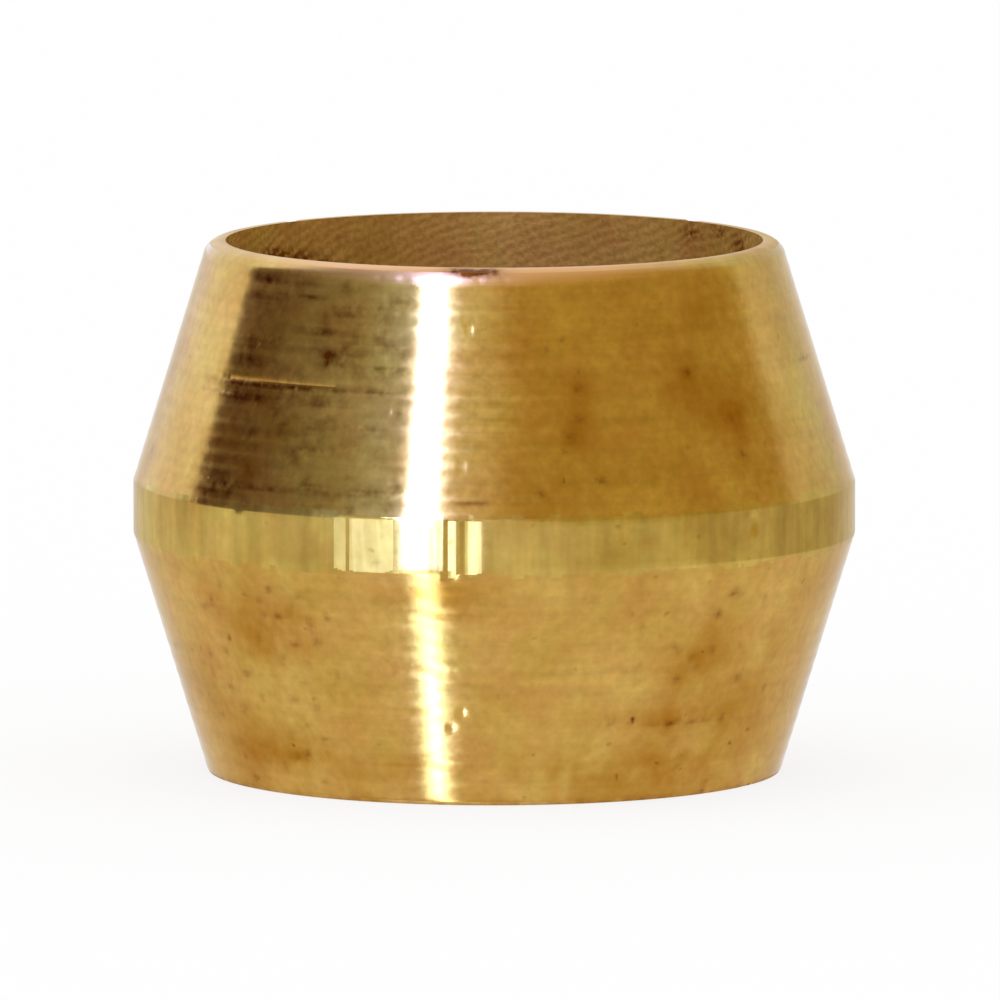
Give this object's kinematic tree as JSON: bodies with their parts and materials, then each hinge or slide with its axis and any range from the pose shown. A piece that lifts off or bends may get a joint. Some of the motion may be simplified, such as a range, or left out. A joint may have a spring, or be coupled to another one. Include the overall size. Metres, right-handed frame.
{
  "type": "compression olive",
  "caption": "Double-cone brass ring with a plain bore and a short central land; squeezed between a fitting and its nut, it bites onto a tube and seals the joint.",
  "frame": {"origin": "centre of the lip face that it stands on, on the bore's axis", "axes": "+Z along the bore's axis, up through the other lip; the part is round, so X and Y are free"},
  "size_m": [0.0086, 0.0086, 0.0063],
  "materials": {
    "brass": "turned and drawn, lightly tarnished"
  },
  "bodies": {
    "root": {"compression_olive": "brass"}
  },
  "joints": []
}
